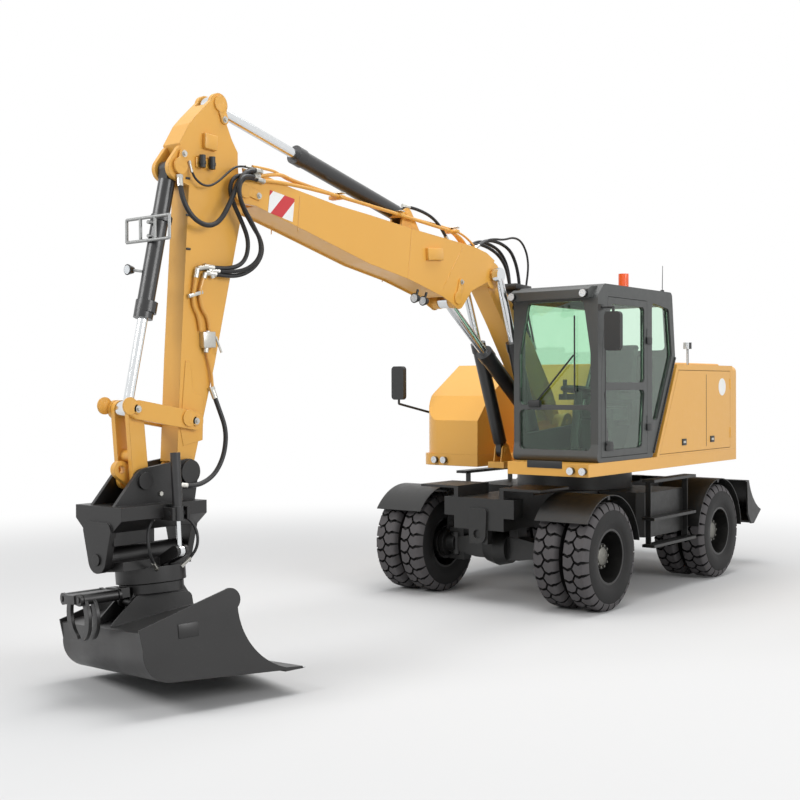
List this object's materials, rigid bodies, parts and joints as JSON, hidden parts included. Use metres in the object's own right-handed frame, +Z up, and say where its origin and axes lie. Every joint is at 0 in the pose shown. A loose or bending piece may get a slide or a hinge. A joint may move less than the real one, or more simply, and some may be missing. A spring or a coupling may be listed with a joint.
{
  "type": "wheeled excavator",
  "caption": "Wheeled excavator with a two-piece boom, a tilting and turning bucket with a gripper, twin tyres and a rear blade; every boom, wheel, door and cylinder moves.",
  "frame": {"origin": "on the ground under the middle of the machine's box, the wheels standing on z = 0", "axes": "+X forward towards the bucket, +Y to the machine's left, +Z up"},
  "size_m": [9.2709, 2.956, 4.4078],
  "materials": {
    "yellow_paint": "gloss",
    "grey_paint": "satin",
    "rim_paint": "satin",
    "cab_paint": "satin",
    "tyre_rubber": "matt",
    "rod_chrome": "polished",
    "cab_glass": "clear, green tint",
    "engine_iron": "as cast",
    "seat_fabric": "woven",
    "black_plastic": "matt",
    "lamp_plastic": "clear over white"
  },
  "bodies": {
    "chassis": {"chassis_frame": "grey_paint", "front_axle": "grey_paint", "rear_axle": "grey_paint", "rear_fenders": "grey_paint", "side_steps": "grey_paint"},
    "front_left_knuckle": {"front_left_knuckle": "grey_paint", "front_left_fender": "grey_paint"},
    "front_right_knuckle": {"front_right_knuckle": "grey_paint", "front_right_fender": "grey_paint"},
    "front_left_wheel": {"front_left_wheels": "rim_paint", "front_left_tyres": "tyre_rubber"},
    "front_right_wheel": {"front_right_wheels": "rim_paint", "front_right_tyres": "tyre_rubber"},
    "rear_left_wheel": {"rear_left_wheels": "rim_paint", "rear_left_tyres": "tyre_rubber"},
    "rear_right_wheel": {"rear_right_wheels": "rim_paint", "rear_right_tyres": "tyre_rubber"},
    "rear_blade": {"blade": "grey_paint"},
    "blade_barrels": {"blade_cylinder_barrels": "grey_paint"},
    "blade_rods": {"blade_cylinder_rods": "rod_chrome"},
    "upper": {"upper_frame": "yellow_paint", "counterweight": "grey_paint", "engine_bay": "yellow_paint", "engine_block": "engine_iron", "right_storage_box": "yellow_paint", "cab_shell": "cab_paint", "cab_glass": "cab_glass", "cab_controls": "black_plastic", "seat_cushions": "seat_fabric", "mirrors": "black_plastic", "lamps": "lamp_plastic"},
    "left_service_door": {"left_service_door": "yellow_paint"},
    "right_service_door": {"right_service_door": "yellow_paint"},
    "engine_hood": {"engine_hood": "yellow_paint"},
    "cab_door": {"cab_door": "cab_paint", "cab_door_glass": "cab_glass"},
    "lower_boom": {"lower_boom": "yellow_paint"},
    "upper_boom": {"upper_boom": "yellow_paint"},
    "stick": {"stick": "yellow_paint"},
    "guide_links": {"guide_links": "yellow_paint"},
    "bucket_link": {"bucket_link": "yellow_paint"},
    "coupler": {"tiltrotator_coupler": "grey_paint"},
    "tilt_frame": {"tilt_frame": "grey_paint"},
    "rotator": {"rotator": "grey_paint", "gripper_frame": "grey_paint", "bucket": "grey_paint"},
    "gripper_left_claw": {"gripper_left_claw": "grey_paint"},
    "gripper_right_claw": {"gripper_right_claw": "grey_paint"},
    "lift_barrels": {"lift_cylinder_barrels": "grey_paint"},
    "lift_rods": {"lift_cylinder_rods": "rod_chrome"},
    "adjust_barrel": {"adjust_cylinder_barrel": "grey_paint"},
    "adjust_rod": {"adjust_cylinder_rod": "rod_chrome"},
    "stick_barrel": {"stick_cylinder_barrel": "grey_paint"},
    "stick_rod": {"stick_cylinder_rod": "rod_chrome"},
    "bucket_barrel": {"bucket_cylinder_barrel": "grey_paint"},
    "bucket_rod": {"bucket_cylinder_rod": "rod_chrome"},
    "tilt_left_barrel": {"tilt_left_barrel": "grey_paint"},
    "tilt_left_rod": {"tilt_left_rod": "rod_chrome"},
    "tilt_right_barrel": {"tilt_right_barrel": "grey_paint"},
    "tilt_right_rod": {"tilt_right_rod": "rod_chrome"}
  },
  "joints": [
    {"name": "front_left_steering", "type": "hinge", "parent": "chassis", "child": "front_left_knuckle", "pos_m": [-0.635, 0.56, 0.527], "axis": [0, 0, 1], "range_deg": [-30, 30]},
    {"name": "front_right_steering", "type": "hinge", "parent": "chassis", "child": "front_right_knuckle", "pos_m": [-0.635, -0.56, 0.527], "axis": [0, 0, 1], "range_deg": [-30, 30]},
    {"name": "front_left_wheel_spin", "type": "hinge", "parent": "front_left_knuckle", "child": "front_left_wheel", "pos_m": [-0.635, 0, 0.527], "axis": [0, 1, 0], "continuous": true},
    {"name": "front_right_wheel_spin", "type": "hinge", "parent": "front_right_knuckle", "child": "front_right_wheel", "pos_m": [-0.635, 0, 0.527], "axis": [0, 1, 0], "continuous": true},
    {"name": "rear_left_wheel_spin", "type": "hinge", "parent": "chassis", "child": "rear_left_wheel", "pos_m": [-3.235, 0, 0.527], "axis": [0, 1, 0], "continuous": true},
    {"name": "rear_right_wheel_spin", "type": "hinge", "parent": "chassis", "child": "rear_right_wheel", "pos_m": [-3.235, 0, 0.527], "axis": [0, 1, 0], "continuous": true},
    {"name": "blade_lift", "type": "hinge", "parent": "chassis", "child": "rear_blade", "pos_m": [-3.565, 0, 0.65], "axis": [0, -1, 0], "range_deg": [-4, 37]},
    {"name": "blade_barrel_pivot", "type": "hinge", "parent": "chassis", "child": "blade_barrels", "pos_m": [-3.715, 0, 0.98], "axis": [0, -1, 0], "range_deg": [-5, 38]},
    {"name": "blade_rod_slide", "type": "slide", "parent": "blade_barrels", "child": "blade_rods", "axis": [-0.8638, 0, -0.5039], "range_m": [-0.05, 0.26]},
    {"name": "slew", "type": "hinge", "parent": "chassis", "child": "upper", "pos_m": [-2.135, 0, 1.225], "axis": [0, 0, 1], "continuous": true},
    {"name": "left_service_door", "type": "hinge", "parent": "upper", "child": "left_service_door", "pos_m": [-3.5525, 1.252, 1.9], "axis": [0, 0, 1], "range_deg": [0, 100]},
    {"name": "right_service_door", "type": "hinge", "parent": "upper", "child": "right_service_door", "pos_m": [-3.5525, -1.252, 1.9], "axis": [0, 0, -1], "range_deg": [0, 100]},
    {"name": "engine_hood", "type": "hinge", "parent": "upper", "child": "engine_hood", "pos_m": [-2.2875, 0, 2.435], "axis": [0, 1, 0], "range_deg": [0, 60]},
    {"name": "cab_door", "type": "hinge", "parent": "upper", "child": "cab_door", "pos_m": [-1.4425, 1.246, 2.2], "axis": [0, 0, 1], "range_deg": [0, 165]},
    {"name": "boom_lift", "type": "hinge", "parent": "upper", "child": "lower_boom", "pos_m": [-1.575, 0, 1.78], "axis": [0, 1, 0], "range_deg": [-25, 55]},
    {"name": "boom_adjust", "type": "hinge", "parent": "lower_boom", "child": "upper_boom", "pos_m": [-0.26945, 0, 3.28717], "axis": [0, -1, 0], "range_deg": [-67, 18]},
    {"name": "stick_swing", "type": "hinge", "parent": "upper_boom", "child": "stick", "pos_m": [3.17686, 0, 3.69202], "axis": [0, 1, 0], "range_deg": [-64, 34]},
    {"name": "bucket_curl", "type": "hinge", "parent": "stick", "child": "coupler", "pos_m": [3.73166, 0, 1.56209], "axis": [0, 1, 0], "range_deg": [-55, 80]},
    {"name": "guide_pivot", "type": "hinge", "parent": "stick", "child": "guide_links", "pos_m": [3.65476, 0, 1.93267], "axis": [0, 1, 0], "range_deg": [-41, 59]},
    {"name": "bucket_link_pivot", "type": "hinge", "parent": "guide_links", "child": "bucket_link", "pos_m": [4.18917, 0, 2.02306], "axis": [0, 1, 0], "range_deg": [-39, 27]},
    {"name": "bucket_cylinder_pivot", "type": "hinge", "parent": "stick", "child": "bucket_barrel", "pos_m": [3.78889, 0, 3.7822], "axis": [0, 1, 0], "range_deg": [-3, 4]},
    {"name": "bucket_cylinder_slide", "type": "slide", "parent": "bucket_barrel", "child": "bucket_rod", "axis": [0.2219, 0, -0.9751], "range_m": [-0.35, 0.51]},
    {"name": "stick_cylinder_pivot", "type": "hinge", "parent": "upper_boom", "child": "stick_barrel", "pos_m": [1.016, 0, 3.74427], "axis": [0, 1, 0], "range_deg": [-6, 4]},
    {"name": "stick_cylinder_slide", "type": "slide", "parent": "stick_barrel", "child": "stick_rod", "axis": [0.9711, 0, 0.2388], "range_m": [-0.67, 0.36]},
    {"name": "adjust_cylinder_pivot", "type": "hinge", "parent": "lower_boom", "child": "adjust_barrel", "pos_m": [-1.194, 0, 1.87466], "axis": [0, -1, 0], "range_deg": [-2, 1]},
    {"name": "adjust_cylinder_slide", "type": "slide", "parent": "adjust_barrel", "child": "adjust_rod", "axis": [0.8002, 0, 0.5997], "range_m": [-0.68, 0.19]},
    {"name": "lift_cylinder_pivot", "type": "hinge", "parent": "upper", "child": "lift_barrels", "pos_m": [-0.98, 0, 1.5], "axis": [0, 1, 0], "range_deg": [-28, 66]},
    {"name": "lift_cylinder_slide", "type": "slide", "parent": "lift_barrels", "child": "lift_rods", "axis": [0.3695, 0, 0.9292], "range_m": [-0.59, 0.25]},
    {"name": "tilt", "type": "hinge", "parent": "coupler", "child": "tilt_frame", "pos_m": [3.995, 0, 0.985], "axis": [1, 0, 0], "range_deg": [-42, 30]},
    {"name": "turn", "type": "hinge", "parent": "tilt_frame", "child": "rotator", "pos_m": [3.995, 0, 0.985], "axis": [0, -0.1045, 0.9945], "continuous": true},
    {"name": "gripper_left", "type": "hinge", "parent": "rotator", "child": "gripper_left_claw", "pos_m": [4.46833, 0.05738, 0.73463], "axis": [0.9673, -0.2524, -0.0265], "range_deg": [0, 60]},
    {"name": "gripper_right", "type": "hinge", "parent": "rotator", "child": "gripper_right_claw", "pos_m": [4.39221, -0.23121, 0.7043], "axis": [-0.9673, 0.2524, 0.0265], "range_deg": [0, 60]},
    {"name": "tilt_left_cylinder_pivot", "type": "hinge", "parent": "coupler", "child": "tilt_left_barrel", "pos_m": [3.995, 0.312, 1.29], "axis": [1, 0, 0], "range_deg": [-3, 3]},
    {"name": "tilt_left_cylinder_slide", "type": "slide", "parent": "tilt_left_barrel", "child": "tilt_left_rod", "axis": [0, 0.0589, -0.9983], "range_m": [-0.17, 0.235]},
    {"name": "tilt_right_cylinder_pivot", "type": "hinge", "parent": "coupler", "child": "tilt_right_barrel", "pos_m": [3.995, -0.312, 1.29], "axis": [1, 0, 0], "range_deg": [-3, 3]},
    {"name": "tilt_right_cylinder_slide", "type": "slide", "parent": "tilt_right_barrel", "child": "tilt_right_rod", "axis": [0, -0.0499, -0.9988], "range_m": [-0.235, 0.17]}
  ],
  "couplings": [
    {"joint": "front_right_steering", "follows": "front_left_steering", "ratio": 1},
    {"joint": "blade_barrel_pivot", "follows": "blade_lift", "ratio": 0.84},
    {"joint": "blade_rod_slide", "follows": "blade_lift", "m_per_rad": 0.34},
    {"joint": "guide_pivot", "follows": "bucket_curl", "ratio": 0.728},
    {"joint": "bucket_link_pivot", "follows": "bucket_curl", "ratio": -0.475},
    {"joint": "bucket_cylinder_pivot", "follows": "bucket_curl", "ratio": 0.04},
    {"joint": "bucket_cylinder_slide", "follows": "bucket_curl", "m_per_rad": 0.36},
    {"joint": "stick_cylinder_pivot", "follows": "stick_swing", "ratio": 0.08},
    {"joint": "stick_cylinder_slide", "follows": "stick_swing", "m_per_rad": 0.59},
    {"joint": "adjust_cylinder_pivot", "follows": "boom_adjust", "ratio": 0.02},
    {"joint": "adjust_cylinder_slide", "follows": "boom_adjust", "m_per_rad": 0.57},
    {"joint": "lift_cylinder_pivot", "follows": "boom_lift", "ratio": 1.09},
    {"joint": "lift_cylinder_slide", "follows": "boom_lift", "m_per_rad": -0.56},
    {"joint": "gripper_right", "follows": "gripper_left", "ratio": 1},
    {"joint": "tilt_left_cylinder_pivot", "follows": "tilt", "ratio": 0.045},
    {"joint": "tilt_left_cylinder_slide", "follows": "tilt", "m_per_rad": -0.31},
    {"joint": "tilt_right_cylinder_pivot", "follows": "tilt", "ratio": 0.04},
    {"joint": "tilt_right_cylinder_slide", "follows": "tilt", "m_per_rad": 0.31}
  ]
}
